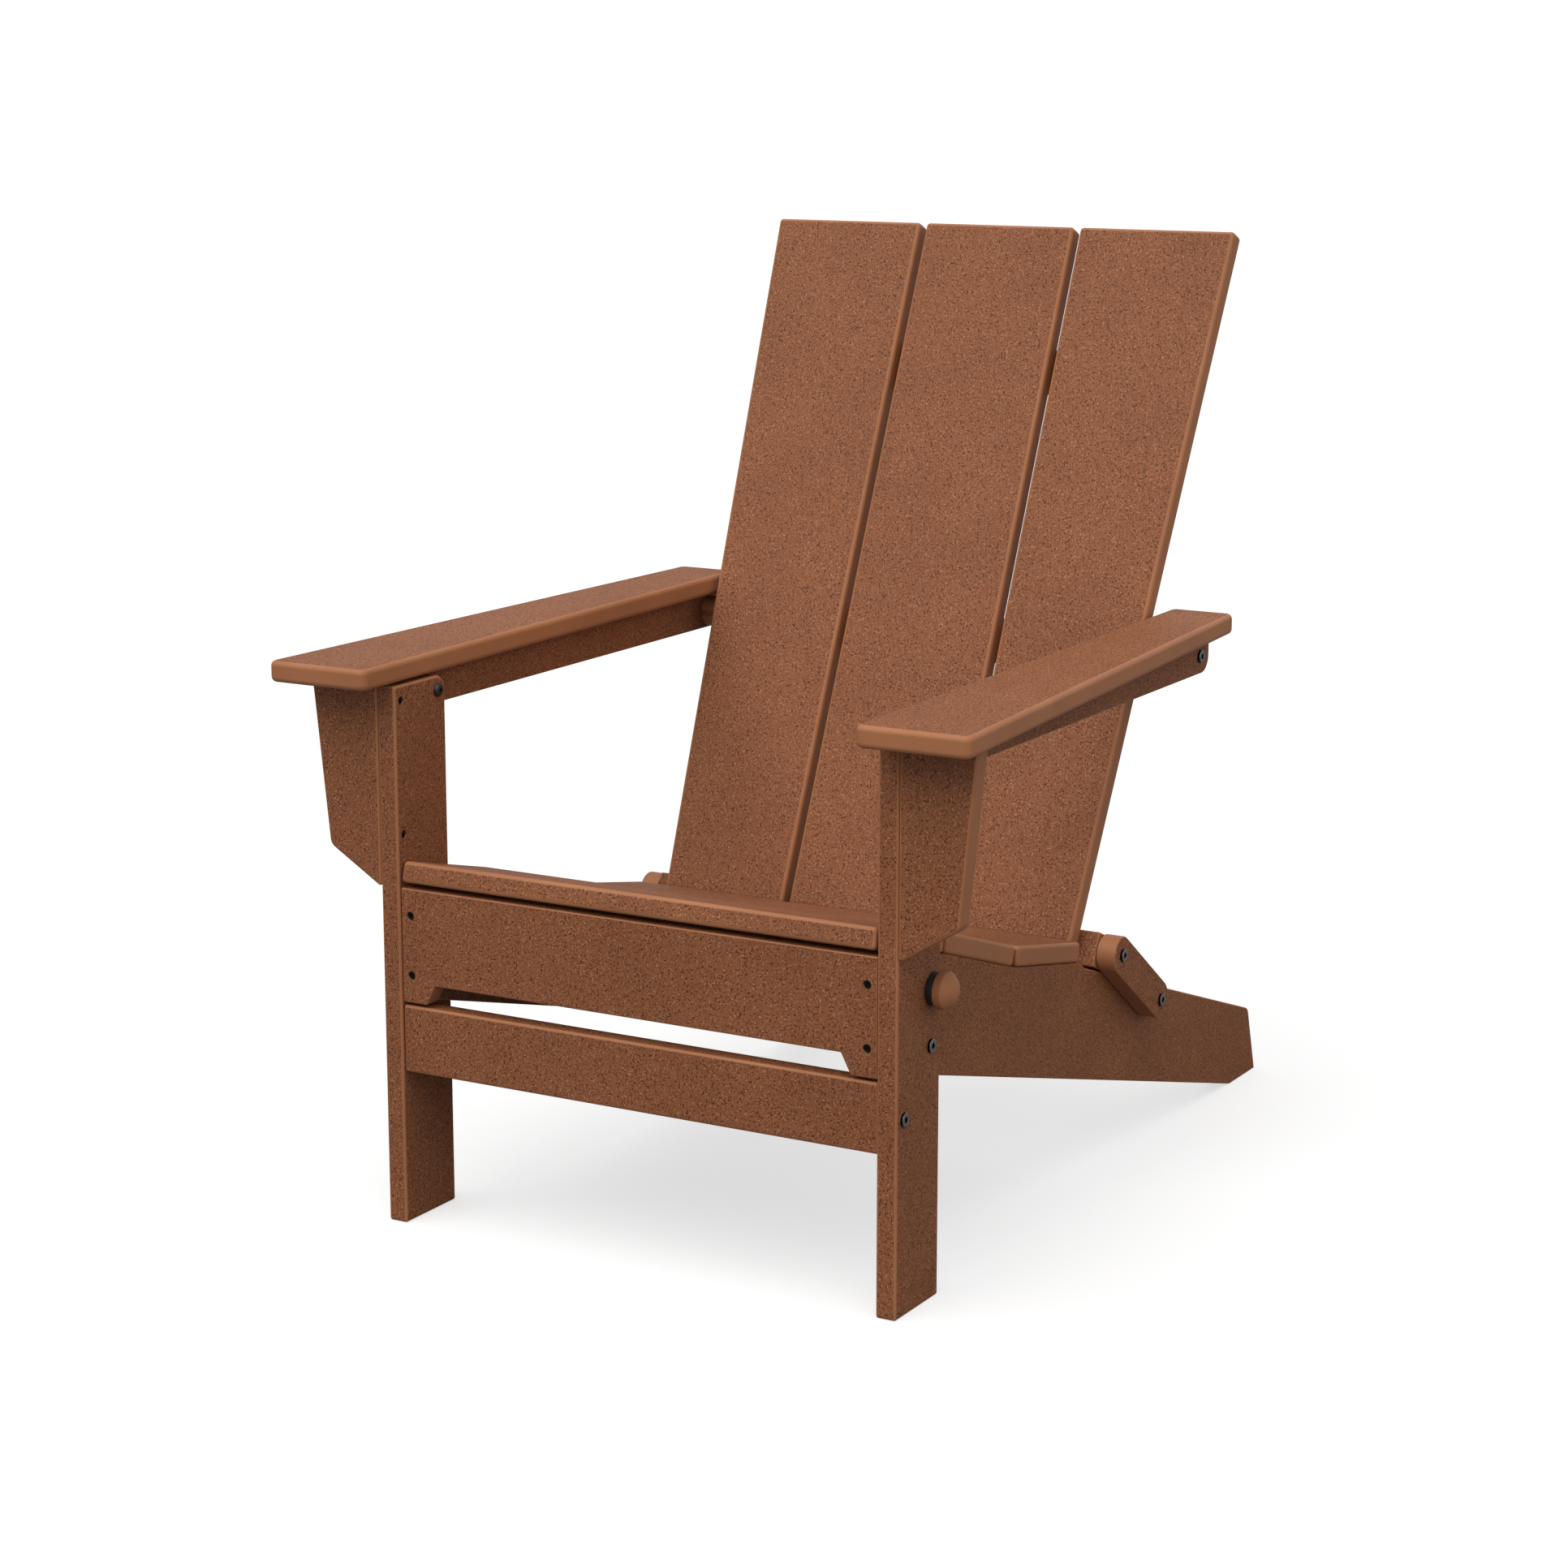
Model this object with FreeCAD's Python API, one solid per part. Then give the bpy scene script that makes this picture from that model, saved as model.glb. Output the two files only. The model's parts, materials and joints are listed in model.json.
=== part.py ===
"""Folding adirondack chair in plastic lumber: one STEP file per separate piece.

Axes: +X is the sitter's left, the chair faces -Y, +Z is up, the feet stand on z = 0.
The pieces are drawn with y = 0 at the front face of the front legs, and save() moves
them so that the origin is the middle of the chair's footprint box, on the floor.
All sizes are in millimetres, angles in degrees.
"""
import FreeCAD, Part
import math
import os

V = FreeCAD.Vector

# ------------------------------------------------------------------ driving dimensions
# Lumber
BOARD = 22.2              # thickness of every board
EDGE_ROUND = 3.0          # rounding of the frame boards' edges
SOFT_ROUND = 4.5          # rounding of the boards that the sitter touches

# Front legs and what joins them
INNER_WIDTH = 555.6       # between the two front legs
LEG_DEPTH = 88.9
LEG_HEIGHT = 570.0
LEG_TOP_ROUND = 15.0      # rear top corner, which turns under the arm
STRETCHER_SETBACK = 3.1   # stretcher's face behind the legs' front face
STRETCHER_BOTTOM = 164.4
STRETCHER_HEIGHT = 71.8

# Brackets under the arms
BRACKET_REACH = 82.0      # at the top, outwards from the leg
BRACKET_FOOT_REACH = 64.0 # at the outer bottom corner
BRACKET_HEIGHT = 213.0
BRACKET_SLANT = 39.0      # rise from the inner to the outer bottom corner
BRACKET_ROUND = 12.0

# Arms
ARM_TOP = 594.3           # at the front
ARM_TILT = 0.43           # rise towards the rear
ARM_INSET = 0.6           # straight inner edge, outside the leg's inner face
ARM_FRONT_WIDTH = 120.4
ARM_REAR_WIDTH = 73.0
ARM_OVERHANG = 50.7       # in front of the legs
ARM_LENGTH = 730.5
ARM_CORNER = 9.0
ARM_ROUND = 5.5           # rounding of the arm board's edges
ARM_RAIL_HEIGHT = 38.1
ARM_RAIL_START = 48.0     # behind the legs' front face
ARM_RAIL_ROUND = 18.0

# Seat
SEAT_FRONT_Y = 5.0
SEAT_FRONT_Z = 389.0
SEAT_WIDTHS = (148.2, 158.6, 152.9)   # front, middle and rear slat
SEAT_SLOPES = (14.2, 18.0, 11.4)      # each slat's fall to the rear
SEAT_GAPS = (3.2, 8.1)
SEAT_NAMES = ("front", "middle", "rear")
FRONT_SLAT_PLAY = 2.6     # each end of the front slat to a leg
APRON_SETBACK = 2.2
APRON_BOTTOM = 239.7
APRON_GAP = 0.6           # under the front slat
APRON_NOTCH = 21.3        # height of the cut-out along the bottom edge
APRON_NOTCH_END = 28.8    # from each end of the apron to the cut-out
APRON_NOTCH_SLANT = 11.0

# Side rails, which are also the rear legs
HEEL_Y = 963.0            # rear end of the foot
FOOT_LENGTH = 76.0
TAIL_HEIGHT = 80.5        # upper rear corner
TAIL_LEAN = 25.0          # that corner ahead of the heel
TAIL_ROUND = 12.0
SHOULDER_DROP = 7.0       # step down behind the rear slat
SHOULDER_LAP = 5.0        # rail left behind the rear slat before the step
SHOULDER_ROUND = 3.0

# Back
RECLINE = 23.57           # from the vertical
BACK_FOOT_Y = 479.9       # lower front edge
BACK_FOOT_Z = 261.6
BACK_LENGTH = 809.0
BACK_BOTTOM_WIDTH = 509.8
BACK_TOP_WIDTH = 577.8
CENTRE_SLAT_WIDTH = 187.0
BACK_SLAT_GAP = 8.0
CLEAT_START = 623.0       # along the back from its foot
CLEAT_WIDTH = 47.0
CLEAT_LENGTH = 470.0
MID_RAIL_BOTTOM = 530.0
MID_RAIL_TOP = 571.3
MID_RAIL_REAR = 679.5
MID_RAIL_BOSS = 17.6      # radius of the round end that turns beside the arm rail
LOW_RAIL_HEIGHT = 38.1
LOW_RAIL_DEPTH = 42.0

# Links between the side rails and the back
LINK_WIDTH = 41.0

# Pivots, in y and z
LEG_PIVOT = (69.0, 260.0)
ARM_PIVOT = (75.0, 554.8)
BACK_PIVOT = (655.0, 553.5)
BACK_FOOT_PIVOT = (518.0, 246.0)
LINK_PIVOT = (623.0, 171.0)
PIVOT_GAP = 0.8           # a thin washer's space between two boards that turn
RUNNING = 0.05            # radial, between a bolt and a board that turns on it

# Locking pegs
PEG_AXIS = (71.0, 316.5)
PEG_RADIUS = 8.0
PEG_COLLAR_RADIUS = 16.5
PEG_COLLAR = 9.5          # black sleeve between the peg's head and the leg
PEG_HEAD_RADIUS = 19.0
PEG_HEAD = 18.5
PEG_DOME = 11.5           # height of the head's domed part
PEG_RIM_ROUND = 1.5

# Fasteners
BOLT_RADIUS = 4.0
BOLT_HEAD_RADIUS = 7.2
BOLT_HEAD = 2.8
BOLT_HEAD_ROUND = 1.0
DOME_HEAD = 4.2
DOME_ROUND = 3.6
HEAD_PLAY = 0.2           # under a head beside a board that turns
SOCKET_RADIUS = 2.9
SOCKET_DEPTH = 1.8
NUT_RADIUS = 7.5
NUT_HEIGHT = 6.0
BARREL_RADIUS = 6.0
BARREL_LENGTH = 30.0
BARREL_INSET = 30.0       # from the board's end to the barrel nut's axis
SCREW_RADIUS = 2.2
SCREW_HEAD_RADIUS = 4.3
SCREW_HEAD = 2.4
SCREW_DRIVE_RADIUS = 1.5
SCREW_DRIVE_DEPTH = 1.3
SCREW_SINK = 1.6          # head below the surface
SCREW_HOLE_RADIUS = 4.6
SCREW_BITE = 32.0         # length of thread in the far board
SCREW_COVER = 6.0         # lumber left in front of a screw's tip
SCREW_START = 46.0        # as far outside the surface as a pocket's hole may need to run

# Where the screws stand
APRON_SCREW_SHARES = (0.24, 0.76)     # up the side rail's front end
BRACKET_SCREW_DROPS = (17.0, 156.0)   # below the bracket's top
ARM_SCREW_SHARES = (0.16, 0.5, 0.84)  # from the arm rail's front to the back pivot
ARM_SCREW_SINK = 12.7
SEAT_SCREW_SHARES = (0.25, 0.75)      # along each slat's section
SEAT_SCREW_LEAN = 18.0                # of a pocket screw, from straight up
SEAT_SCREW_SINK = 13.3
SEAT_SCREW_REACH = 13.3               # into the slat
CENTRE_SLAT_SCREW = 32.0              # from the centre slat's edges
OUTER_SLAT_SCREWS = (30.0, 120.0)     # from an outer slat's inner edge
LOW_RAIL_SCREW_RISE = 2.0             # up the back from its foot
MID_RAIL_SCREW_START = 34.0           # behind the slats' rear faces
BACK_SCREW_SINK_SHARE = 0.6           # of the cross rail's depth beyond one board

# ------------------------------------------------------------------ derived places
LEG_IN = INNER_WIDTH / 2
LEG_OUT = LEG_IN + BOARD
RAIL_OUT = LEG_IN - PIVOT_GAP
RAIL_IN = RAIL_OUT - BOARD
ARM_RAIL_IN = LEG_OUT + PIVOT_GAP
ARM_RAIL_OUT = ARM_RAIL_IN + BOARD
ARM_UNDER = ARM_TOP - BOARD
ARM_INSIDE = LEG_IN + ARM_INSET
ARM_FRONT_OUTSIDE = ARM_INSIDE + ARM_FRONT_WIDTH
ARM_REAR_OUTSIDE = ARM_INSIDE + ARM_REAR_WIDTH
ARM_SLOPE = math.tan(math.radians(ARM_TILT))
BACK_BARREL = RAIL_OUT - BARREL_INSET
BACK_BOLT_END = BACK_BARREL - BARREL_RADIUS
BRACKET_TOP = LEG_HEIGHT + 1.0
APRON_REAR = APRON_SETBACK + BOARD
FOOTPRINT_MIDDLE = (HEEL_Y - ARM_OVERHANG) / 2

SIN_R = math.sin(math.radians(RECLINE))
COS_R = math.cos(math.radians(RECLINE))
SIDES = (("left", 1), ("right", -1))


def on_back(along, behind):
    """(y, z) of the point that is `along` up the back and `behind` its front face."""
    return (BACK_FOOT_Y + along * SIN_R + behind * COS_R,
            BACK_FOOT_Z + along * COS_R - behind * SIN_R)


def along_at(height):
    """How far up the back its slats' rear faces reach a height."""
    return (height - BACK_FOOT_Z + BOARD * SIN_R) / COS_R


# ------------------------------------------------------------------ shape helpers
def rounded_wire(corners, place):
    """Closed wire through corners (a, b, radius), each corner a tangent arc.

    place turns the flat (a, b) into a point in space.
    """
    count = len(corners)
    flat = [FreeCAD.Vector(a, b, 0) for a, b, _ in corners]
    starts, ends, middles = [], [], []
    for i, (_, _, radius) in enumerate(corners):
        here = flat[i]
        back = (flat[i - 1] - here).normalize()
        ahead = (flat[(i + 1) % count] - here).normalize()
        half = back.getAngle(ahead) / 2
        reach = radius / math.tan(half)
        bisector = (back + ahead).normalize()
        starts.append(here + back * reach)
        ends.append(here + ahead * reach)
        middles.append(here + bisector * (radius / math.sin(half) - radius))
    edges = []
    for i, (_, _, radius) in enumerate(corners):
        begin, mid, end = (place(p.x, p.y) for p in (starts[i], middles[i], ends[i]))
        if radius > 0:
            edges.append(Part.Arc(begin, mid, end).toShape())
        following = starts[(i + 1) % count]
        edges.append(Part.LineSegment(end, place(following.x, following.y)).toShape())
    return Part.Wire(edges)


def softened(solid, radius):
    """The solid with every edge rounded."""
    return solid.makeFillet(radius, solid.Edges) if radius else solid


def across(corners, x_start, x_end, edge_round=EDGE_ROUND):
    """Board with its outline in y and z, running from x_start to x_end."""
    wire = rounded_wire(corners, lambda y, z: V(x_start, y, z))
    return softened(Part.Face(wire).extrude(V(x_end - x_start, 0, 0)), edge_round)


def upright(corners, y_front, edge_round=EDGE_ROUND):
    """Board with its outline in x and z, from y_front back by one thickness."""
    wire = rounded_wire(corners, lambda x, z: V(x, y_front, z))
    return softened(Part.Face(wire).extrude(V(0, BOARD, 0)), edge_round)


def flat(corners, z_bottom, edge_round):
    """Board with its outline in x and y, from z_bottom up by one thickness."""
    wire = rounded_wire(corners, lambda x, y: V(x, y, z_bottom))
    return softened(Part.Face(wire).extrude(V(0, 0, BOARD)), edge_round)


def along_back(corners, behind, depth, edge_round):
    """Board with its outline in x and along the back, `behind` its front face."""
    def place(x, along):
        return V(x, *on_back(along, behind))
    wire = rounded_wire(corners, place)
    return softened(Part.Face(wire).extrude(V(0, COS_R, -SIN_R) * depth), edge_round)


def rectangle(a_low, a_high, b_low, b_high, radius=0.0):
    """Corners of a rectangle for the board functions."""
    return [(a_low, b_low, radius), (a_high, b_low, radius),
            (a_high, b_high, radius), (a_low, b_high, radius)]


def rod(start, end, radius):
    """Cylinder between two points."""
    axis = end - start
    return Part.makeCylinder(radius, axis.Length, start, axis)


def drilled(board, *tools):
    """Board with each tool cut away."""
    for tool in tools:
        board = board.cut(tool)
    return board


def mirrored(shape):
    """The same piece on the chair's other side."""
    return shape.mirror(V(0, 0, 0), V(1, 0, 0))


def on_side(shape, side):
    """A piece drawn at +X, put on the given side."""
    return shape if side > 0 else mirrored(shape)


def both_sides(shapes):
    """A group of separate solids and their mirror images."""
    return Part.makeCompound(list(shapes) + [mirrored(s) for s in shapes])


def save(name, shape):
    """Write one piece as parts/NAME.step, about the chair's own origin."""
    moved = shape.copy()
    moved.translate(V(0, -FOOTPRINT_MIDDLE, 0))
    moved.exportStep(os.path.join("parts", name + ".step"))


# ------------------------------------------------------------------ fasteners
def bolt(start, end, dome=False):
    """Bolt whose head's underside is at start and whose shank ends at end."""
    axis = (end - start).normalize()
    height = DOME_HEAD if dome else BOLT_HEAD
    head = Part.makeCylinder(BOLT_HEAD_RADIUS, height, start, -axis)
    outer_edges = [e for e in head.Edges
                   if e.Closed and (e.CenterOfMass - start).Length > height / 2]
    head = head.makeFillet(DOME_ROUND if dome else BOLT_HEAD_ROUND, outer_edges)
    face = start - axis * height
    socket = Part.makeCylinder(SOCKET_RADIUS, SOCKET_DEPTH, face, axis)
    return head.cut(socket).fuse(rod(start, end, BOLT_RADIUS)).removeSplitter()


def hex_nut(start, axis):
    """Hexagonal nut standing on start along axis, bored for the bolt."""
    side = axis.cross(V(0, 0, 1) if abs(axis.z) < 0.9 else V(1, 0, 0)).normalize()
    up = axis.cross(side)
    turns = [math.radians(60 * i) for i in range(7)]
    corners = [start + side * (NUT_RADIUS * math.cos(t)) + up * (NUT_RADIUS * math.sin(t))
               for t in turns]
    body = Part.Face(Part.makePolygon(corners)).extrude(axis * NUT_HEIGHT)
    return body.cut(Part.makeCylinder(BOLT_RADIUS, NUT_HEIGHT, start, axis))


def barrel_nut(centre, axis, bolt_axis):
    """Cross dowel with a bolt hole through its middle."""
    half = axis * (BARREL_LENGTH / 2)
    hole = rod(centre - bolt_axis * BARREL_LENGTH, centre + bolt_axis * BARREL_LENGTH, BOLT_RADIUS)
    return rod(centre - half, centre + half, BARREL_RADIUS).cut(hole)


def barrel_hole(centre, axis):
    """Hole that a barrel nut fills."""
    half = axis * (BARREL_LENGTH / 2)
    return rod(centre - half, centre + half, BARREL_RADIUS)


class Screw:
    """Wood screw from the surface point `mouth` to `tip`, with the holes that it needs."""

    def __init__(self, mouth, tip, sink=SCREW_SINK):
        self.axis = (tip - mouth).normalize()
        self.mouth = mouth
        self.head_top = mouth + self.axis * sink
        self.tip = tip

    def solid(self):
        head = Part.makeCylinder(SCREW_HEAD_RADIUS, SCREW_HEAD, self.head_top, self.axis)
        drive = Part.makeCylinder(SCREW_DRIVE_RADIUS, SCREW_DRIVE_DEPTH, self.head_top, self.axis)
        return head.fuse(rod(self.head_top, self.tip, SCREW_RADIUS)).cut(drive)

    def hole(self):
        outside = self.mouth - self.axis * SCREW_START
        seat = self.head_top + self.axis * SCREW_HEAD
        return rod(outside, seat, SCREW_HOLE_RADIUS).fuse(rod(seat, self.tip, SCREW_RADIUS))


# ------------------------------------------------------------------ seat geometry
class SeatSlat:
    """Section of one seat slat: its upper front corner, width and slope."""

    def __init__(self, front_y, front_z, width, slope):
        angle = math.radians(slope)
        self.rearward = (math.cos(angle), -math.sin(angle))
        self.down = (-math.sin(angle), -math.cos(angle))
        self.width = width
        self.front = (front_y, front_z)

    def point(self, along, below):
        """(y, z) of the point that is `along` the top and `below` it."""
        return (self.front[0] + self.rearward[0] * along + self.down[0] * below,
                self.front[1] + self.rearward[1] * along + self.down[1] * below)

    def underside_at(self, y):
        """Height of the underside at y."""
        y0, z0 = self.point(0, BOARD)
        return z0 + (y - y0) * self.rearward[1] / self.rearward[0]

    def corners(self):
        places = ((0, 0), (0, BOARD), (self.width, BOARD), (self.width, 0))
        return [self.point(a, b) + (0.0,) for a, b in places]


def seat_sections():
    """The seat's slats, each starting where the one before it and its gap end."""
    sections = []
    y, z = SEAT_FRONT_Y, SEAT_FRONT_Z
    for i, (width, slope) in enumerate(zip(SEAT_WIDTHS, SEAT_SLOPES)):
        slat = SeatSlat(y, z, width, slope)
        sections.append(slat)
        if i < len(SEAT_GAPS):
            y, z = slat.point(width, 0)
            fall = math.tan(math.radians((slope + SEAT_SLOPES[i + 1]) / 2))
            y, z = y + SEAT_GAPS[i], z - SEAT_GAPS[i] * fall
    return sections


SEAT = seat_sections()
SEAT_REAR_Y = SEAT[-1].point(SEAT_WIDTHS[-1], BOARD)[0] + SHOULDER_LAP


def underside_crossing(ahead, behind):
    """(y, z) where the undersides of two neighbouring slats meet."""
    slope_a = ahead.rearward[1] / ahead.rearward[0]
    slope_b = behind.rearward[1] / behind.rearward[0]
    y = (behind.underside_at(0) - ahead.underside_at(0)) / (slope_a - slope_b)
    return y, ahead.underside_at(y)


# ------------------------------------------------------------------ pivot bolts and pegs
def at(x, pivot):
    """Point on a pivot's axis."""
    return V(x, *pivot)


def leg_pivot_bolt():
    return bolt(at(LEG_OUT + HEAD_PLAY, LEG_PIVOT), at(RAIL_IN - NUT_HEIGHT, LEG_PIVOT))


def link_pivot_bolt():
    return bolt(at(LEG_OUT + HEAD_PLAY, LINK_PIVOT), at(RAIL_IN - NUT_HEIGHT, LINK_PIVOT))


def arm_pivot_bolt():
    """Its shank stops at the leg's outer face: this is the pivot where the linkage is open."""
    return bolt(at(LEG_IN, ARM_PIVOT), at(LEG_OUT, ARM_PIVOT), dome=True)


def back_pivot_bolt():
    return bolt(at(ARM_RAIL_OUT + HEAD_PLAY, BACK_PIVOT), at(BACK_BOLT_END, BACK_PIVOT))


def back_foot_bolt():
    return bolt(at(LEG_OUT + HEAD_PLAY, BACK_FOOT_PIVOT), at(BACK_BOLT_END, BACK_FOOT_PIVOT))


def shank_hole(x_low, x_high, pivot, play=0.0):
    """Hole for a pivot's shank."""
    return rod(at(x_low, pivot), at(x_high, pivot), BOLT_RADIUS + play)


def peg():
    """Mushroom-headed peg whose tip is at the leg's inner face."""
    head_start = LEG_OUT + PEG_COLLAR
    shank = rod(at(LEG_IN, PEG_AXIS), at(head_start + PEG_HEAD / 2, PEG_AXIS), PEG_RADIUS)
    head = Part.makeCylinder(PEG_HEAD_RADIUS, PEG_HEAD, at(head_start, PEG_AXIS), V(1, 0, 0))
    sphere_radius = (PEG_HEAD_RADIUS ** 2 + PEG_DOME ** 2) / (2 * PEG_DOME)
    sphere = Part.makeSphere(sphere_radius, at(head_start + PEG_HEAD - sphere_radius, PEG_AXIS))
    return softened(head.common(sphere), PEG_RIM_ROUND).fuse(shank)


def peg_collar():
    """Black sleeve on the leg's outer face, round the peg."""
    end = LEG_OUT + PEG_COLLAR
    sleeve = rod(at(LEG_OUT, PEG_AXIS), at(end, PEG_AXIS), PEG_COLLAR_RADIUS)
    return sleeve.cut(rod(at(LEG_OUT, PEG_AXIS), at(end, PEG_AXIS), PEG_RADIUS + RUNNING))


# ------------------------------------------------------------------ screws, by joint
def apron_screws():
    """Through the apron into the side rails' front ends, at +X."""
    x = (RAIL_IN + RAIL_OUT) / 2
    rail_height = SEAT[0].underside_at(APRON_REAR) - APRON_BOTTOM
    heights = [APRON_BOTTOM + rail_height * share for share in APRON_SCREW_SHARES]
    return [Screw(V(x, APRON_SETBACK, z), V(x, APRON_REAR + SCREW_BITE, z)) for z in heights]


def bracket_screws():
    """Through the leg's inner face into the bracket's edge, at +X."""
    y = BOARD / 2
    heights = [BRACKET_TOP - drop for drop in BRACKET_SCREW_DROPS]
    return [Screw(V(LEG_IN, y, z), V(LEG_OUT + SCREW_BITE, y, z)) for z in heights]


def arm_screws():
    """Up through the arm rail into the arm board, at +X."""
    x = (ARM_RAIL_IN + ARM_RAIL_OUT) / 2
    low = ARM_UNDER - ARM_RAIL_HEIGHT
    reach = BACK_PIVOT[0] - ARM_RAIL_START
    places = [ARM_RAIL_START + reach * share for share in ARM_SCREW_SHARES]
    return [Screw(V(x, y, low), V(x, y, ARM_TOP - SCREW_COVER), ARM_SCREW_SINK) for y in places]


def seat_screws(slat):
    """Pocket screws from a side rail's inner face up into a slat, at +X."""
    lean = math.radians(SEAT_SCREW_LEAN)
    middle_x = (RAIL_IN + RAIL_OUT) / 2
    screws = []
    for share in SEAT_SCREW_SHARES:
        y, z = slat.point(slat.width * share, BOARD)
        up = V(0, -slat.down[0], -slat.down[1])
        axis = up * math.cos(lean) + V(math.sin(lean), 0, 0)
        crossing = V(middle_x, y, z)
        tip = crossing + axis * SEAT_SCREW_REACH
        mouth = crossing - axis * (BOARD / 2 / math.sin(lean))
        screws.append(Screw(mouth, tip, SEAT_SCREW_SINK))
    return screws


def slat_screw_places():
    """x of the screws across the back: two in each slat."""
    edge = CENTRE_SLAT_WIDTH / 2
    right = [edge - CENTRE_SLAT_SCREW] + [edge + BACK_SLAT_GAP + step for step in OUTER_SLAT_SCREWS]
    return right + [-x for x in right]


def back_screws(along, behind):
    """From behind a cross rail, at `along` the back, into every slat."""
    sink = max(SCREW_SINK, (behind - 2 * BOARD) * BACK_SCREW_SINK_SHARE)
    screws = []
    for x in slat_screw_places():
        mouth = V(x, *on_back(along, behind))
        tip = V(x, *on_back(along, SCREW_COVER))
        screws.append(Screw(mouth, tip, sink))
    return screws


CLEAT_SCREWS = back_screws(CLEAT_START + CLEAT_WIDTH / 2, 2 * BOARD)
LOW_RAIL_SCREWS = back_screws(LOW_RAIL_SCREW_RISE, BOARD + LOW_RAIL_DEPTH)
MID_RAIL_ALONG = along_at((MID_RAIL_BOTTOM + MID_RAIL_TOP) / 2)
MID_RAIL_SCREWS = back_screws(MID_RAIL_ALONG, BOARD + MID_RAIL_SCREW_START)
BACK_SCREWS = CLEAT_SCREWS + LOW_RAIL_SCREWS + MID_RAIL_SCREWS


# ------------------------------------------------------------------ pieces: front frame
def front_leg():
    corners = [(0, 0, 0), (LEG_DEPTH, 0, 0), (LEG_DEPTH, LEG_HEIGHT, LEG_TOP_ROUND),
               (0, LEG_HEIGHT, 0)]
    board = across(corners, LEG_IN, LEG_OUT)
    x_low, x_high = LEG_IN - 1, LEG_OUT + 1
    peg_hole = rod(at(x_low, PEG_AXIS), at(x_high, PEG_AXIS), PEG_RADIUS + RUNNING)
    holes = [shank_hole(x_low, x_high, LEG_PIVOT, RUNNING),
             shank_hole(x_low, x_high, ARM_PIVOT),
             shank_hole(x_low, x_high, stretcher_axis()), peg_hole]
    return drilled(board, *holes, *[s.hole() for s in bracket_screws()])


def stretcher_axis():
    """(y, z) of the bolts into the stretcher's ends."""
    return (STRETCHER_SETBACK + BOARD / 2, STRETCHER_BOTTOM + STRETCHER_HEIGHT / 2)


def stretcher_barrel():
    """Centre of the barrel nut at the stretcher's +X end."""
    return at(LEG_IN - BARREL_INSET, stretcher_axis())


def stretcher():
    top = STRETCHER_BOTTOM + STRETCHER_HEIGHT
    board = upright(rectangle(-LEG_IN, LEG_IN, STRETCHER_BOTTOM, top), STRETCHER_SETBACK)
    shank = shank_hole(LEG_IN - BARREL_INSET - BARREL_RADIUS, LEG_IN + 1, stretcher_axis())
    dowel = barrel_hole(stretcher_barrel(), V(0, 0, 1))
    return drilled(board, shank, dowel, mirrored(shank), mirrored(dowel))


def bracket():
    low = BRACKET_TOP - BRACKET_HEIGHT
    corners = [(LEG_OUT, low, 0),
               (LEG_OUT + BRACKET_FOOT_REACH, low + BRACKET_SLANT, BRACKET_ROUND),
               (LEG_OUT + BRACKET_REACH, BRACKET_TOP, 0), (LEG_OUT, BRACKET_TOP, 0)]
    return drilled(upright(corners, 0.0), *[s.hole() for s in bracket_screws()])


def save_front_frame():
    leg, plate, locking_peg = front_leg(), bracket(), peg()
    for name, side in SIDES:
        save("front_leg_" + name, on_side(leg, side))
        save("bracket_" + name, on_side(plate, side))
        save("peg_" + name, on_side(locking_peg, side))
    save("peg_collars", both_sides([peg_collar()]))
    save("arm_pivot_bolts", both_sides([arm_pivot_bolt()]))
    save("stretcher", stretcher())
    axis = stretcher_axis()
    end = LEG_IN - BARREL_INSET - BARREL_RADIUS
    save("stretcher_bolts", both_sides([bolt(at(LEG_OUT, axis), at(end, axis))]))
    save("stretcher_barrel_nuts",
         both_sides([barrel_nut(stretcher_barrel(), V(0, 0, 1), V(1, 0, 0))]))
    save("bracket_screws", both_sides([s.solid() for s in bracket_screws()]))


# ------------------------------------------------------------------ pieces: arms
def arm_board():
    rear = ARM_LENGTH - ARM_OVERHANG
    front = -ARM_OVERHANG
    corners = [(ARM_INSIDE, front, ARM_CORNER), (ARM_FRONT_OUTSIDE, front, ARM_CORNER),
               (ARM_REAR_OUTSIDE, rear, ARM_CORNER), (ARM_INSIDE, rear, ARM_CORNER)]
    board = flat(corners, ARM_UNDER, ARM_ROUND)
    board.rotate(V(0, front, ARM_TOP), V(1, 0, 0), ARM_TILT)
    return drilled(board, *[s.hole() for s in arm_screws()])


def arm_under(y):
    """Height of the arm board's underside at y."""
    return ARM_TOP - BOARD / math.cos(math.radians(ARM_TILT)) + (y + ARM_OVERHANG) * ARM_SLOPE


def arm_rail():
    low, rear = ARM_UNDER - ARM_RAIL_HEIGHT, ARM_LENGTH - ARM_OVERHANG
    corners = [(ARM_RAIL_START, low, ARM_RAIL_ROUND), (rear, low, ARM_RAIL_ROUND),
               (rear, arm_under(rear), 0), (ARM_RAIL_START, arm_under(ARM_RAIL_START), 0)]
    board = across(corners, ARM_RAIL_IN, ARM_RAIL_OUT, EDGE_ROUND / 2)
    x_low, x_high = ARM_RAIL_IN - 1, ARM_RAIL_OUT + 1
    holes = [shank_hole(x_low, x_high, ARM_PIVOT), shank_hole(x_low, x_high, BACK_PIVOT, RUNNING)]
    return drilled(board, *holes, *[s.hole() for s in arm_screws()])


def save_arms():
    pieces = {
        "arm_board": arm_board(),
        "arm_rail": arm_rail(),
        "arm_pivot_nut": hex_nut(at(ARM_RAIL_OUT, ARM_PIVOT), V(1, 0, 0)),
        "arm_screws": Part.makeCompound([s.solid() for s in arm_screws()]),
    }
    for piece, shape in pieces.items():
        for name, side in SIDES:
            save(piece + "_" + name, on_side(shape, side))


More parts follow.
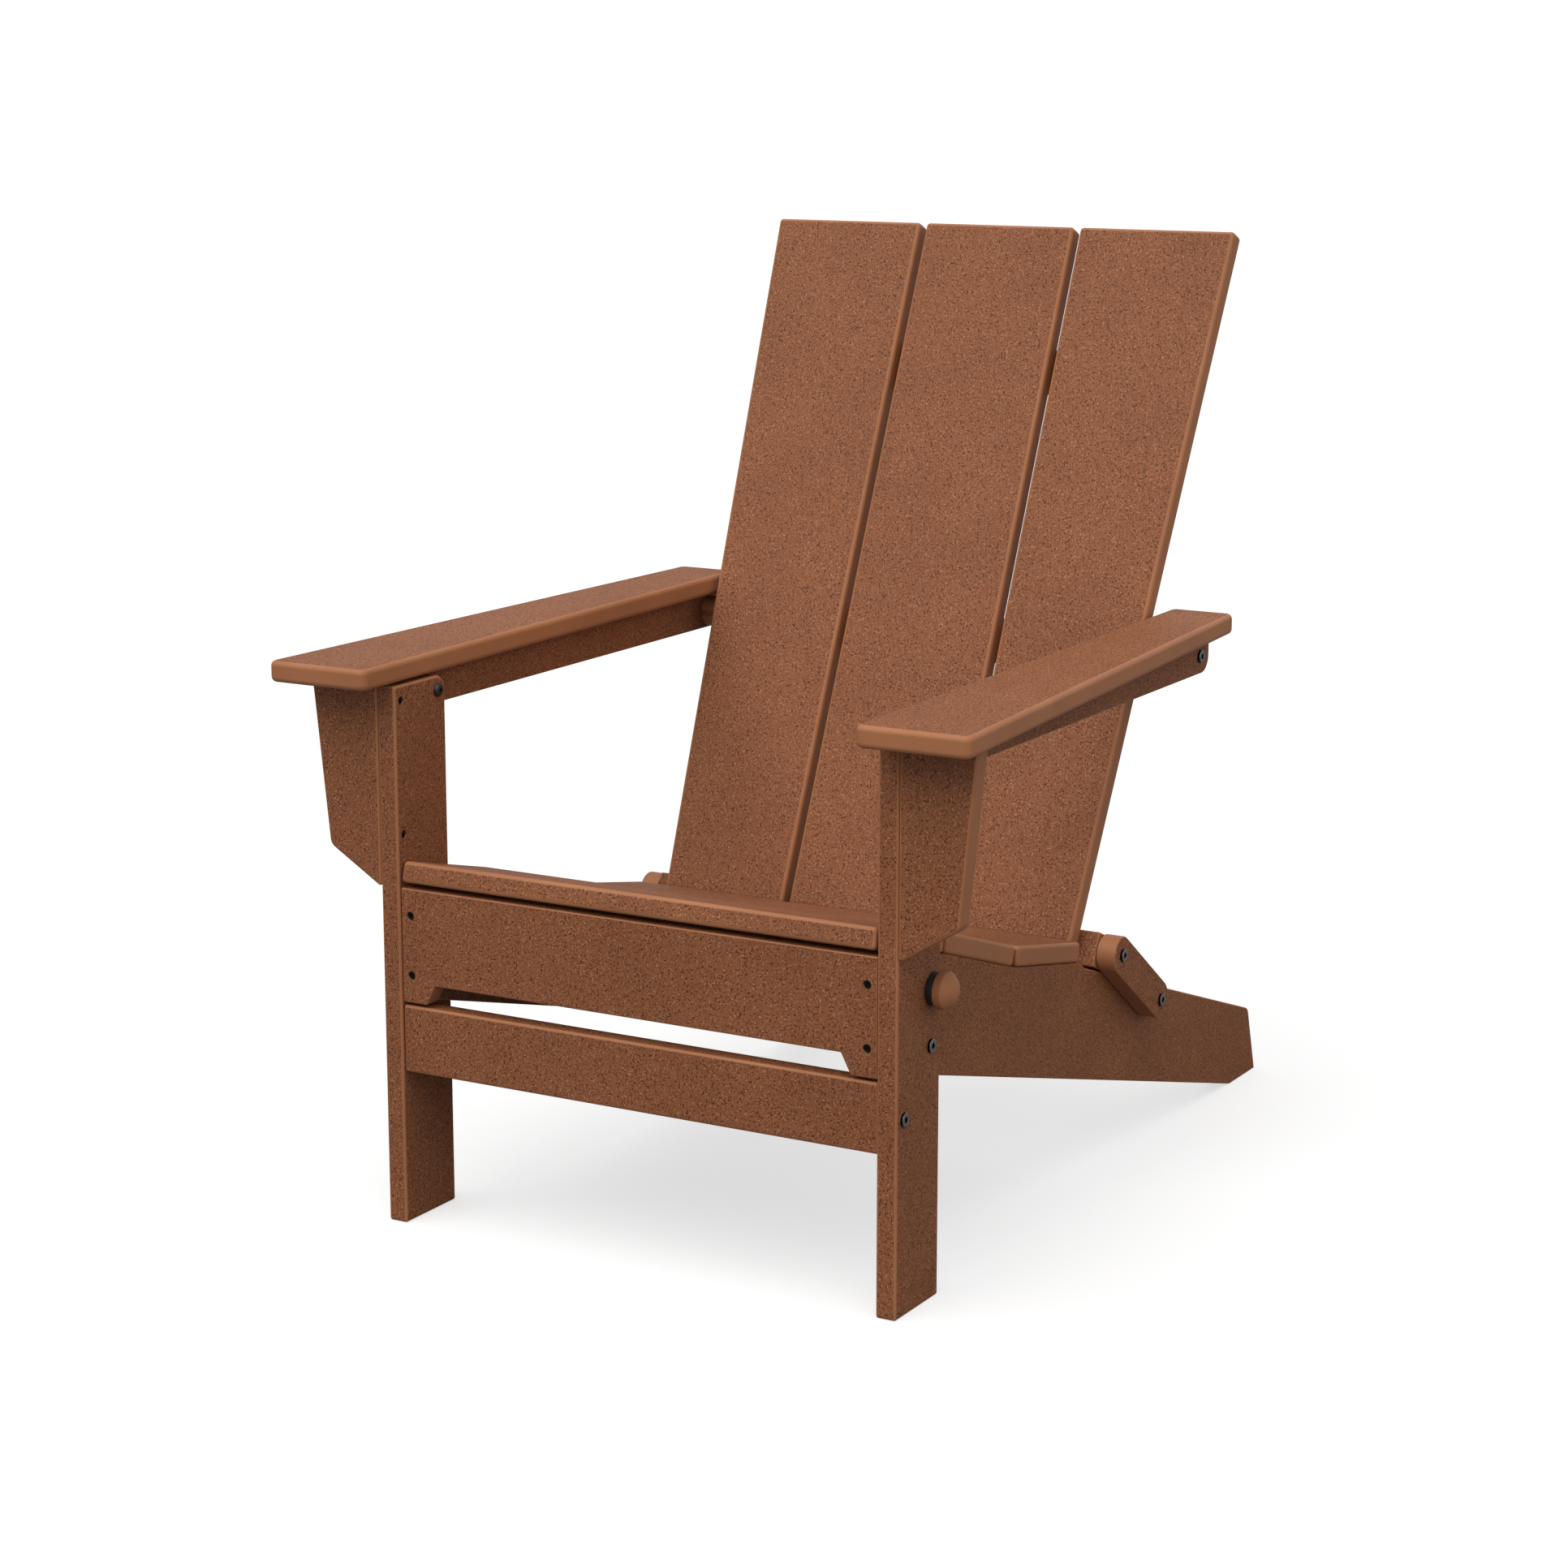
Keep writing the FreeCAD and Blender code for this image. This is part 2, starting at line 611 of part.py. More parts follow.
# ------------------------------------------------------------------ pieces: seat frame
def side_rail():
    crossings = [underside_crossing(a, b) for a, b in zip(SEAT, SEAT[1:])]
    rear_edge = SEAT[-1].underside_at(SEAT_REAR_Y)
    corners = [(APRON_REAR, APRON_BOTTOM, 0), (HEEL_Y - FOOT_LENGTH, 0, 0), (HEEL_Y, 0, 0),
               (HEEL_Y - TAIL_LEAN, TAIL_HEIGHT, TAIL_ROUND),
               (SEAT_REAR_Y + SHOULDER_DROP, rear_edge - SHOULDER_DROP, 0),
               (SEAT_REAR_Y, rear_edge, SHOULDER_ROUND)]
    corners += [(y, z, 0) for y, z in reversed(crossings)]
    corners += [(APRON_REAR, SEAT[0].underside_at(APRON_REAR), 0)]
    board = across(corners, RAIL_IN, RAIL_OUT, 0.0)
    board = softened_long_edges(board)
    x_low, x_high = RAIL_IN - 1, RAIL_OUT + 1
    holes = [shank_hole(x_low, x_high, LEG_PIVOT), shank_hole(x_low, x_high, LINK_PIVOT),
             rod(at(x_low, PEG_AXIS), at(x_high, PEG_AXIS), PEG_RADIUS + RUNNING)]
    holes += [s.hole() for slat in SEAT for s in seat_screws(slat)]
    return drilled(board, *holes, *[s.hole() for s in apron_screws()])


def softened_long_edges(board):
    """Round the rail's bottom, foot and tail edges, and leave the seat's bed square."""
    heel_fall = APRON_BOTTOM / (HEEL_Y - FOOT_LENGTH - APRON_REAR)
    chosen = []
    for edge in board.Edges:
        middle = edge.CenterOfMass
        rearward = middle.y - APRON_REAR
        crosswise = edge.BoundBox.XLength > BOARD / 2
        under = rearward > BOARD and middle.z < APRON_BOTTOM - rearward * heel_fall / 2
        if not crosswise and (under or middle.y > SEAT_REAR_Y + SHOULDER_DROP):
            chosen.append(edge)
    return board.makeFillet(EDGE_ROUND / 2, chosen)


def apron():
    step = RAIL_OUT - APRON_NOTCH_END
    top = SEAT[0].underside_at(APRON_REAR) - APRON_GAP
    notch = APRON_BOTTOM + APRON_NOTCH
    inner = step - APRON_NOTCH_SLANT
    corners = [(-RAIL_OUT, APRON_BOTTOM, 0), (-step, APRON_BOTTOM, 0), (-inner, notch, 0),
               (inner, notch, 0), (step, APRON_BOTTOM, 0), (RAIL_OUT, APRON_BOTTOM, 0),
               (RAIL_OUT, top, 0), (-RAIL_OUT, top, 0)]
    board = upright(corners, APRON_SETBACK, EDGE_ROUND / 2)
    holes = [s.hole() for s in apron_screws()]
    return drilled(board, *holes, *[mirrored(h) for h in holes])


def seat_slat(slat, half_length):
    board = across(slat.corners(), -half_length, half_length, SOFT_ROUND)
    holes = [s.hole() for s in seat_screws(slat)]
    return drilled(board, *holes, *[mirrored(h) for h in holes])


def save_seat_frame():
    rail = side_rail()
    for name, side in SIDES:
        save("side_rail_" + name, on_side(rail, side))
    save("apron", apron())
    for i, (name, slat) in enumerate(zip(SEAT_NAMES, SEAT)):
        half = LEG_IN - FRONT_SLAT_PLAY if i == 0 else RAIL_OUT
        save("seat_slat_" + name, seat_slat(slat, half))
    save("apron_screws", both_sides([s.solid() for s in apron_screws()]))
    save("seat_slat_screws", both_sides([s.solid() for slat in SEAT for s in seat_screws(slat)]))
    save("leg_pivot_bolts", both_sides([leg_pivot_bolt()]))
    save("leg_pivot_nuts", both_sides([hex_nut(at(RAIL_IN, LEG_PIVOT), V(-1, 0, 0))]))
    save("link_pivot_bolts", both_sides([link_pivot_bolt()]))
    save("link_pivot_nuts", both_sides([hex_nut(at(RAIL_IN, LINK_PIVOT), V(-1, 0, 0))]))


# ------------------------------------------------------------------ pieces: links
def link():
    """Flat bar with a round end about each of its two pivots."""
    (y0, z0), (y1, z1) = BACK_FOOT_PIVOT, LINK_PIVOT
    radius = LINK_WIDTH / 2
    start, end = V(RAIL_OUT + PIVOT_GAP, y0, z0), V(RAIL_OUT + PIVOT_GAP, y1, z1)
    ahead = (end - start).normalize()
    side = ahead.cross(V(1, 0, 0)) * radius
    edges = [
        Part.LineSegment(start + side, end + side),
        Part.Arc(end + side, end + ahead * radius, end - side),
        Part.LineSegment(end - side, start - side),
        Part.Arc(start - side, start - ahead * radius, start + side),
    ]
    body = Part.Face(Part.Wire([e.toShape() for e in edges])).extrude(V(BOARD, 0, 0))
    holes = [shank_hole(LEG_IN - 1, LEG_OUT + 1, p, RUNNING) for p in (BACK_FOOT_PIVOT, LINK_PIVOT)]
    return drilled(softened(body, EDGE_ROUND / 2), *holes)


def save_links():
    for name, side in SIDES:
        save("link_" + name, on_side(link(), side))


# ------------------------------------------------------------------ pieces: back
def back_slat_corners():
    """Outlines of the left, centre and right slats, in x and along the back."""
    edge = CENTRE_SLAT_WIDTH / 2
    inner = edge + BACK_SLAT_GAP
    low, high = BACK_BOTTOM_WIDTH / 2, BACK_TOP_WIDTH / 2
    left = [(inner, 0, 0), (low, 0, 0), (high, BACK_LENGTH, 0), (inner, BACK_LENGTH, 0)]
    right = [(-x, along, r) for x, along, r in reversed(left)]
    return {"left": left, "centre": rectangle(-edge, edge, 0, BACK_LENGTH), "right": right}


def mid_rail():
    """Cross rail with a level top and bottom, its front face leaning with the slats."""
    low_front = on_back(along_at(MID_RAIL_BOTTOM), BOARD)
    high_front = on_back(along_at(MID_RAIL_TOP), BOARD)
    corners = [low_front + (0,), (MID_RAIL_REAR, MID_RAIL_BOTTOM, 0),
               (MID_RAIL_REAR, MID_RAIL_TOP, 0), high_front + (0,)]
    board = across(corners, -RAIL_OUT, RAIL_OUT, EDGE_ROUND / 2)
    board = board.fuse(rod(at(-LEG_OUT, BACK_PIVOT), at(LEG_OUT, BACK_PIVOT), MID_RAIL_BOSS))
    shank = shank_hole(BACK_BOLT_END, LEG_OUT + 1, BACK_PIVOT)
    dowel = barrel_hole(at(BACK_BARREL, BACK_PIVOT), V(0, 0, 1))
    screw_holes = [s.hole() for s in MID_RAIL_SCREWS]
    return drilled(board, shank, dowel, mirrored(shank), mirrored(dowel), *screw_holes)


def low_rail():
    """Cross rail behind the slats' feet, between the links."""
    middle = (BACK_FOOT_PIVOT[0] - BACK_FOOT_Y) * SIN_R + (BACK_FOOT_PIVOT[1] - BACK_FOOT_Z) * COS_R
    half = LOW_RAIL_HEIGHT / 2
    corners = rectangle(-RAIL_OUT, RAIL_OUT, middle - half, middle + half)
    board = along_back(corners, BOARD, LOW_RAIL_DEPTH, EDGE_ROUND / 2)
    shank = shank_hole(BACK_BOLT_END, RAIL_OUT + 1, BACK_FOOT_PIVOT)
    dowel = barrel_hole(at(BACK_BARREL, BACK_FOOT_PIVOT), V(0, COS_R, -SIN_R))
    screw_holes = [s.hole() for s in LOW_RAIL_SCREWS]
    return drilled(board, shank, dowel, mirrored(shank), mirrored(dowel), *screw_holes)


def cleat():
    half = CLEAT_LENGTH / 2
    corners = rectangle(-half, half, CLEAT_START, CLEAT_START + CLEAT_WIDTH)
    board = along_back(corners, BOARD, BOARD, EDGE_ROUND / 2)
    return drilled(board, *[s.hole() for s in CLEAT_SCREWS])


def save_back():
    for name, corners in back_slat_corners().items():
        slat = along_back(corners, 0.0, BOARD, SOFT_ROUND)
        save("back_slat_" + name, drilled(slat, *[s.hole() for s in BACK_SCREWS]))
    save("upper_cleat", cleat())
    save("mid_cross_rail", mid_rail())
    save("low_cross_rail", low_rail())
    save("cleat_screws", Part.makeCompound([s.solid() for s in CLEAT_SCREWS]))
    save("mid_rail_screws", Part.makeCompound([s.solid() for s in MID_RAIL_SCREWS]))
    save("low_rail_screws", Part.makeCompound([s.solid() for s in LOW_RAIL_SCREWS]))
    rail_nuts = {"mid": (BACK_PIVOT, V(0, 0, 1)), "low": (BACK_FOOT_PIVOT, V(0, COS_R, -SIN_R))}
    for name, (pivot, axis) in rail_nuts.items():
        nut = barrel_nut(at(BACK_BARREL, pivot), axis, V(1, 0, 0))
        save(name + "_rail_barrel_nuts", both_sides([nut]))
    save("back_pivot_bolts", both_sides([back_pivot_bolt()]))
    save("back_foot_bolts", both_sides([back_foot_bolt()]))


os.makedirs("parts", exist_ok=True)
save_front_frame()
save_arms()
save_seat_frame()
save_links()
save_back()
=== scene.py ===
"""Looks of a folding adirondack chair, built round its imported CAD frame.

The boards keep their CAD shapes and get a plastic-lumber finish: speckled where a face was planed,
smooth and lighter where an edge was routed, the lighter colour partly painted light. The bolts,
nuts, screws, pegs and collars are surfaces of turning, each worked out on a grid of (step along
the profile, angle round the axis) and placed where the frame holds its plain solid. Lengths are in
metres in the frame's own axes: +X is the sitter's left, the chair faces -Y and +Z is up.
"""
from __future__ import annotations

import json
import logging
import math
from dataclasses import dataclass, field
from enum import Enum
from typing import ClassVar

import bpy
import numpy as np
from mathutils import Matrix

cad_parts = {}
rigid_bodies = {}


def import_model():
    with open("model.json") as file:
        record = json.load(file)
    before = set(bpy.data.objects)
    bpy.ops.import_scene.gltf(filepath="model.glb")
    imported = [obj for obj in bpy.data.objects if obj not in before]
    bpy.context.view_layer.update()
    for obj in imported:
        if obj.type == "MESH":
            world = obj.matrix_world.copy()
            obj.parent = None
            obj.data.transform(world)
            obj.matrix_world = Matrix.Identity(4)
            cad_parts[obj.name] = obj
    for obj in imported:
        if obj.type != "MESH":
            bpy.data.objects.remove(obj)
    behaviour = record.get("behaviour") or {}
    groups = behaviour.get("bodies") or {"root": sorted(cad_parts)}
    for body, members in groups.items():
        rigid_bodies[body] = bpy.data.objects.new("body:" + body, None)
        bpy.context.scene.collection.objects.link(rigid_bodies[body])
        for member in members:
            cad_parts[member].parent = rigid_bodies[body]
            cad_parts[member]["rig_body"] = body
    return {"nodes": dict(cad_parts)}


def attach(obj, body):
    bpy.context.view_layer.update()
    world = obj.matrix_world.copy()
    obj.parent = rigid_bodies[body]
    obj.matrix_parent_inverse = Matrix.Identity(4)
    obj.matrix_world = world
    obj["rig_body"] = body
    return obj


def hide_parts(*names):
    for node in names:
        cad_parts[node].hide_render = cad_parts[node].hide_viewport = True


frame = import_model()

LOG = logging.getLogger("chair")
MM = 0.001
SHARP_EDGE = 38.0           # degrees between faces from which an edge stays sharp
ACROSS = np.array([1.0, 0.0, 0.0])   # the way every pivot, bolt and peg runs

Colour = tuple[float, float, float]


# ---------------------------------------------------------------------------- shader helpers
class Shader:
    """A material's node tree, with short calls for the nodes that the finishes share.

    The noise is turned by TURN, so that no flat face lies along its lattice.
    """

    TURN = (0.61, 0.37, 0.83)

    def __init__(self, name: str) -> None:
        """Start a material with a Principled surface.

        Args:
            name: the material's name.
        """
        self.material = bpy.data.materials.new(name)
        self.material.use_nodes = True
        self.tree = self.material.node_tree
        self.surface = next(n for n in self.tree.nodes if n.type == "BSDF_PRINCIPLED")
        self.coordinates = self.tree.nodes.new("ShaderNodeTexCoord")

    def add(self, kind: str, **settings: object) -> bpy.types.Node:
        """Add a node and set its properties.

        Args:
            kind: the node's type, without the ShaderNode prefix.
            settings: properties by name.

        Returns:
            The new node.
        """
        node = self.tree.nodes.new("ShaderNode" + kind)
        for key, value in settings.items():
            setattr(node, key, value)
        return node

    def join(self, source: bpy.types.NodeSocket, target: bpy.types.NodeSocket) -> None:
        """Link one socket to another."""
        self.tree.links.new(source, target)

    def noise(self, scale: float, detail: float = 2.0, roughness: float = 0.5,
              stretch: Colour = (1.0, 1.0, 1.0)) -> bpy.types.NodeSocket:
        """Noise on the piece's own coordinates.

        Args:
            scale: features per metre, roughly.
            detail: octaves.
            roughness: strength of the finer octaves.
            stretch: scale along X, Y and Z.

        Returns:
            The noise's value, from 0 to 1.
        """
        mapping = self.add("Mapping")
        mapping.inputs["Scale"].default_value = stretch
        mapping.inputs["Rotation"].default_value = self.TURN
        self.join(self.coordinates.outputs["Object"], mapping.inputs["Vector"])
        texture = self.add("TexNoise")
        texture.inputs["Scale"].default_value = scale
        texture.inputs["Detail"].default_value = detail
        texture.inputs["Roughness"].default_value = roughness
        self.join(mapping.outputs["Vector"], texture.inputs["Vector"])
        return texture.outputs["Fac"]

    def ramp(self, value: bpy.types.NodeSocket, low: float, high: float,
             start: float = 0.0, end: float = 1.0) -> bpy.types.NodeSocket:
        """Value carried smoothly from start, at low, to end, at high.

        Args:
            value: the value to carry.
            low: where the change begins.
            high: where it ends.
            start: result at or below low.
            end: result at or above high.

        Returns:
            The carried value.
        """
        node = self.add("MapRange", interpolation_type="SMOOTHSTEP")
        for name, number in (("From Min", low), ("From Max", high), ("To Min", start), ("To Max", end)):
            node.inputs[name].default_value = number
        self.join(value, node.inputs["Value"])
        return node.outputs["Result"]

    def math(self, operation: str, *values: bpy.types.NodeSocket | float) -> bpy.types.NodeSocket:
        """One arithmetic step on sockets or numbers."""
        node = self.add("Math", operation=operation)
        for socket, value in zip(node.inputs, values):
            if isinstance(value, (int, float)):
                socket.default_value = value
            else:
                self.join(value, socket)
        return node.outputs["Value"]

    def mix(self, share: bpy.types.NodeSocket, first: Colour | bpy.types.NodeSocket,
            second: Colour | bpy.types.NodeSocket) -> bpy.types.NodeSocket:
        """Mix of two colours.

        Args:
            share: how much of the second colour.
            first: colour or socket at share 0.
            second: colour or socket at share 1.

        Returns:
            The mixed colour.
        """
        node = self.add("Mix", data_type="RGBA")
        self.join(share, node.inputs["Factor"])
        for socket, colour in ((node.inputs[6], first), (node.inputs[7], second)):
            if isinstance(colour, tuple):
                socket.default_value = (*colour, 1.0)
            else:
                self.join(colour, socket)
        return node.outputs[2]

    def facing(self, directions: list[np.ndarray]) -> bpy.types.NodeSocket:
        """How squarely the surface faces the nearest of some directions, either way.

        The value is the largest absolute dot product of the piece's own normal and a direction.

        Args:
            directions: unit vectors.

        Returns:
            A value from 0 to 1.
        """
        nearest = None
        for direction in directions:
            dot = self.add("VectorMath", operation="DOT_PRODUCT")
            dot.inputs[1].default_value = tuple(float(c) for c in direction)
            self.join(self.coordinates.outputs["Normal"], dot.inputs[0])
            size = self.math("ABSOLUTE", dot.outputs["Value"])
            nearest = size if nearest is None else self.math("MAXIMUM", nearest, size)
        return nearest

    def bump(self, height: bpy.types.NodeSocket, strength: float, distance: float) -> None:
        """Give the surface a bump from a height."""
        node = self.add("Bump")
        node.inputs["Strength"].default_value = strength
        node.inputs["Distance"].default_value = distance
        self.join(height, node.inputs["Height"])
        self.join(node.outputs["Normal"], self.surface.inputs["Normal"])


# ---------------------------------------------------------------------------- finishes
@dataclass(frozen=True)
class PlasticLumber:
    """Through-coloured plastic board: planed faces speckled, routed edges smooth and lighter, partly
    painted light.
    """

    base: Colour = (0.230, 0.082, 0.033)
    pale: Colour = (0.47, 0.235, 0.135)
    dark: Colour = (0.070, 0.020, 0.008)
    # lighter colour of routed edges and of faces off the planed directions: partly the smooth finish's own
    # tone, partly painted light for faces the lamps leave dark
    routed_lit: Colour = (0.345, 0.140, 0.062)
    gloss: float = 0.20
    grain_scale: float = 563.0
    fleck_scale: float = 471.0
    cloud_scale: float = 9.0
    planed_roughness: float = 0.62
    routed_roughness: float = 0.44
    pale_band: tuple[float, float] = (0.55, 0.67)
    dark_band: tuple[float, float] = (0.34, 0.45)
    speckle_share: float = 0.9
    cloud_share: float = 0.14
    squareness: tuple[float, float] = (0.955, 0.998)
    relief: float = 0.45
    relief_depth: float = 0.35 * MM
    routed_relief: float = 0.10

    def material(self, name: str, planed: list[np.ndarray]) -> bpy.types.Material:
        """Build the finish for boards whose planed faces look along some directions.

        Args:
            name: the material's name.
            planed: unit normals of the planed faces, or none for a piece that is smooth all over.

        Returns:
            The material.
        """
        shader = Shader(name)
        grain = shader.noise(self.grain_scale, detail=3.0, roughness=0.65)
        flecks = shader.noise(self.fleck_scale, detail=1.0, roughness=0.4)
        clouds = shader.noise(self.cloud_scale, detail=3.0)
        tone = shader.ramp(clouds, 0.3, 0.7, 0.0, self.cloud_share)
        rough = shader.ramp(grain, 0.3, 0.7, self.routed_roughness - 0.05, self.routed_roughness + 0.06)
        texture = shader.math("ADD", grain, shader.math("MULTIPLY", flecks, 0.8))
        if planed:
            flat = shader.ramp(shader.facing(planed), *self.squareness)
            shade = shader.ramp(flecks, *self.dark_band, self.speckle_share, 0.0)
            light = shader.ramp(grain, *self.pale_band, 0.0, self.speckle_share)
            speckled = shader.mix(light, shader.mix(shade, self.base, self.dark), self.pale)
            # faces off the planed directions take the lighter routed colour, partly painted light
            colour = shader.mix(flat, self.routed_lit, speckled)
            step = shader.math("MULTIPLY", flat, self.planed_roughness - self.routed_roughness)
            rough = shader.math("ADD", rough, step)
            relief = shader.ramp(flat, 0.0, 1.0, self.routed_relief, 1.0)
        else:
            # smooth all over: nearly all the lighter routed colour, partly painted light
            colour, relief = shader.mix(tone, self.routed_lit, self.base), self.routed_relief
        colour = shader.mix(tone, colour, self.dark)
        shader.join(colour, shader.surface.inputs["Base Color"])
        shader.surface.inputs["Specular IOR Level"].default_value = self.gloss
        shader.join(rough, shader.surface.inputs["Roughness"])
        shader.bump(shader.math("MULTIPLY", texture, relief), self.relief, self.relief_depth)
        return shader.material


@dataclass(frozen=True)
class Metal:
    """Turned and tumbled steel, with fine marks round the axis."""

    colour: Colour
    shade: Colour
    roughness: float
    # near-black colour for the sides: painted shade and dark reflection
    shaded_flank: Colour | None = None
    mark_scale: float = 2400.0
    stain_scale: float = 260.0

    def material(self, name: str) -> bpy.types.Material:
        """Build the finish; where a shaded flank colour is given, all that faces off the X axis takes it,
        as painted shade and dark reflection.

        Args:
            name: the material's name.

        Returns:
            The material.
        """
        shader = Shader(name)
        marks = shader.noise(self.mark_scale, stretch=(0.15, 1.0, 1.0))
        stains = shader.noise(self.stain_scale, detail=3.0)
        colour = shader.mix(shader.ramp(stains, 0.35, 0.75, 0.0, 0.5), self.colour, self.shade)
        if self.shaded_flank:
            # off the end face the head is painted near-black as shade and dark reflection
            lit_end_face = shader.ramp(shader.facing([ACROSS]), 0.55, 0.85)
            colour = shader.mix(lit_end_face, self.shaded_flank, colour)
        shader.join(colour, shader.surface.inputs["Base Color"])
        shader.join(shader.ramp(marks, 0.2, 0.8, self.roughness - 0.07, self.roughness + 0.1),
                    shader.surface.inputs["Roughness"])
        shader.surface.inputs["Metallic"].default_value = 1.0
        shader.bump(marks, 0.2, 0.05 * MM)
        return shader.material


@dataclass(frozen=True)
class BlackCoat:
    """Black coating or moulded black plastic."""

    colour: Colour = (0.012, 0.012, 0.013)
    dusty: Colour = (0.035, 0.034, 0.033)
    roughness: float = 0.34
    gloss: float = 0.5
    peel_scale: float = 1500.0
    dust_scale: float = 300.0

    def material(self, name: str) -> bpy.types.Material:
        """Build the finish.

        Args:
            name: the material's name.

        Returns:
            The material.
        """
        shader = Shader(name)
        orange_peel = shader.noise(self.peel_scale)
        dust = shader.noise(self.dust_scale, detail=4.0, roughness=0.6)
        colour = shader.mix(shader.ramp(dust, 0.5, 0.8, 0.0, 0.6), self.colour, self.dusty)
        shader.join(colour, shader.surface.inputs["Base Color"])
        shader.join(shader.ramp(dust, 0.3, 0.8, self.roughness, self.roughness + 0.2),
                    shader.surface.inputs["Roughness"])
        shader.surface.inputs["Specular IOR Level"].default_value = self.gloss
        shader.bump(orange_peel, 0.25, 0.08 * MM)
        return shader.material


STEEL = Metal((0.55, 0.54, 0.52), (0.33, 0.32, 0.31), 0.30)
# bolt heads: steel painted darker to stand in for dark reflections, sides painted near-black as shade
SHADED_HEAD_STEEL = Metal((0.34, 0.34, 0.35), (0.20, 0.20, 0.21), 0.26, shaded_flank=(0.012, 0.012, 0.013))
BLACK = BlackCoat()
# screws in their holes: near-black and matte, painted shade of the recesses they sit in
SHADED_SUNK_BLACK = BlackCoat((0.004, 0.004, 0.004), (0.009, 0.009, 0.009), roughness=0.6, gloss=0.15)
MOULDED_BLACK = BlackCoat(roughness=0.5)


# ---------------------------------------------------------------------------- surfaces on a grid
def add_mesh(name: str, vertices: list[np.ndarray], faces: list[list[int]],
             material: bpy.types.Material) -> bpy.types.Object:
    """Make one smooth-shaded mesh, with the edges between steep faces left sharp.

    Args:
        name: the piece's name.
        vertices: the points, in groups.
        faces: the faces' corners.
        material: the finish.

    Returns:
        The new object, at the origin.
    """
    mesh = bpy.data.meshes.new(name)
    mesh.from_pydata(np.vstack(vertices).tolist(), [], faces)
    mesh.polygons.foreach_set("use_smooth", np.ones(len(faces), bool))
    mesh.set_sharp_from_angle(angle=math.radians(SHARP_EDGE))
    mesh.materials.append(material)
    mesh.validate()
    piece = bpy.data.objects.new(name, mesh)
    bpy.context.scene.collection.objects.link(piece)
    return piece


def add_piece(name: str, grids: list[np.ndarray], material: bpy.types.Material) -> bpy.types.Object:
    """Make one smooth-shaded mesh from closed grids of points.

    Each grid is (rows, columns, 3): columns run round the axis and wrap, and the first and last
    rows each gather into one pole. Quads join every point to the next along both ways.

    Args:
        name: the piece's name.
        grids: the point grids.
        material: the finish.

    Returns:
        The new object, at the origin.
    """
    vertices, faces, offset = [], [], 0
    for grid in grids:
        rows, columns, _ = grid.shape
        inner = grid[1:-1].reshape(-1, 3)
        poles = np.stack([grid[0].mean(0), grid[-1].mean(0)])
        index = offset + np.arange((rows - 2) * columns).reshape(rows - 2, columns)
        after = np.roll(index, -1, axis=1)
        quads = np.stack([index[:-1], after[:-1], after[1:], index[1:]], axis=-1).reshape(-1, 4)
        first, last = offset + len(inner), offset + len(inner) + 1
        start = np.stack([np.full(columns, first), after[0], index[0]], axis=-1)
        finish = np.stack([np.full(columns, last), index[-1], after[-1]], axis=-1)
        vertices.append(np.vstack([inner, poles]))
        faces += quads.tolist() + start.tolist() + finish.tolist()
        offset += len(inner) + 2
    return add_mesh(name, vertices, faces, material)


def arc(centre: tuple[float, float], radius: float, start: float, end: float, steps: int = 7) -> np.ndarray:
    """Points of a round stretch of a profile: centre + radius (cos t, sin t), t from start to end.

    Args:
        centre: the arc's centre, along the axis and out from it.
        radius: its radius.
        start: first angle in degrees, 0 along the axis and 90 outwards.
        end: last angle in degrees.
        steps: number of points.

    Returns:
        (steps, 2) points.
    """
    turn = np.radians(np.linspace(start, end, steps))
    return np.stack([centre[0] + radius * np.cos(turn), centre[1] + radius * np.sin(turn)], axis=-1)


def hexagon(angle: np.ndarray, flat: float) -> np.ndarray:
    """Radius of a hexagon at an angle: flat / cos of the angle to the nearest side's middle."""
    third = math.pi / 3
    return flat / np.cos((angle + third / 2) % third - third / 2)


